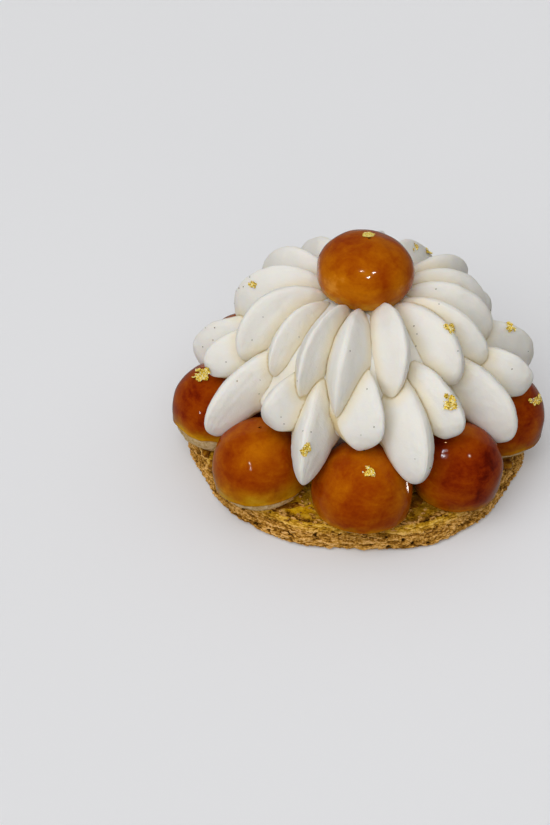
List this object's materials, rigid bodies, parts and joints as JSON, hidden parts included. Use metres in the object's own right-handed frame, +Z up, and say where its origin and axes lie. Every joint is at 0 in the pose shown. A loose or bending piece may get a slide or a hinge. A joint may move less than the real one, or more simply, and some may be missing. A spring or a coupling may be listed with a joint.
{
  "type": "saint-honore cake",
  "caption": "Round cream cake on a puff pastry disc, ringed with caramel-glazed choux, covered in piped whipped cream petals and topped with a caramel choux.",
  "frame": {"origin": "middle of the pastry disc's flat underside, which is the face the cake rests on", "axes": "+Z up through the top choux; the side shown at the front of the picture looks along -Y; +X is to that view's right"},
  "size_m": [0.1648, 0.1594, 0.1057],
  "materials": {
    "puff_pastry": "golden baked puff pastry with a ragged, flaky layered edge",
    "caramel_choux": "choux dipped in clear amber caramel, glossy, with a paler bare band at the foot",
    "whipped_cream": "warm white whipped cream, smooth satin, with vanilla specks"
  },
  "bodies": {
    "root": {"pastry_base": "puff_pastry", "choux_ring_01": "caramel_choux", "choux_ring_02": "caramel_choux", "choux_ring_03": "caramel_choux", "choux_ring_04": "caramel_choux", "choux_ring_05": "caramel_choux", "choux_ring_06": "caramel_choux", "choux_ring_07": "caramel_choux", "choux_ring_08": "caramel_choux", "choux_ring_09": "caramel_choux", "choux_top": "caramel_choux", "cream_mound": "whipped_cream", "petal_upper_01": "whipped_cream", "petal_upper_02": "whipped_cream", "petal_upper_03": "whipped_cream", "petal_upper_04": "whipped_cream", "petal_upper_05": "whipped_cream", "petal_upper_06": "whipped_cream", "petal_upper_07": "whipped_cream", "petal_upper_08": "whipped_cream", "petal_upper_09": "whipped_cream", "petal_upper_10": "whipped_cream", "petal_upper_11": "whipped_cream", "petal_upper_12": "whipped_cream", "petal_upper_13": "whipped_cream", "petal_upper_14": "whipped_cream", "petal_upper_15": "whipped_cream", "petal_upper_16": "whipped_cream", "petal_lower_01": "whipped_cream", "petal_lower_02": "whipped_cream", "petal_lower_03": "whipped_cream", "petal_lower_04": "whipped_cream", "petal_lower_05": "whipped_cream", "petal_lower_06": "whipped_cream", "petal_lower_07": "whipped_cream", "petal_lower_08": "whipped_cream", "petal_lower_09": "whipped_cream", "petal_lower_10": "whipped_cream", "petal_lower_11": "whipped_cream", "petal_lower_12": "whipped_cream", "petal_lower_13": "whipped_cream", "petal_lower_14": "whipped_cream", "petal_lower_15": "whipped_cream", "petal_lower_16": "whipped_cream", "petal_lower_17": "whipped_cream", "petal_lower_18": "whipped_cream"}
  },
  "joints": []
}
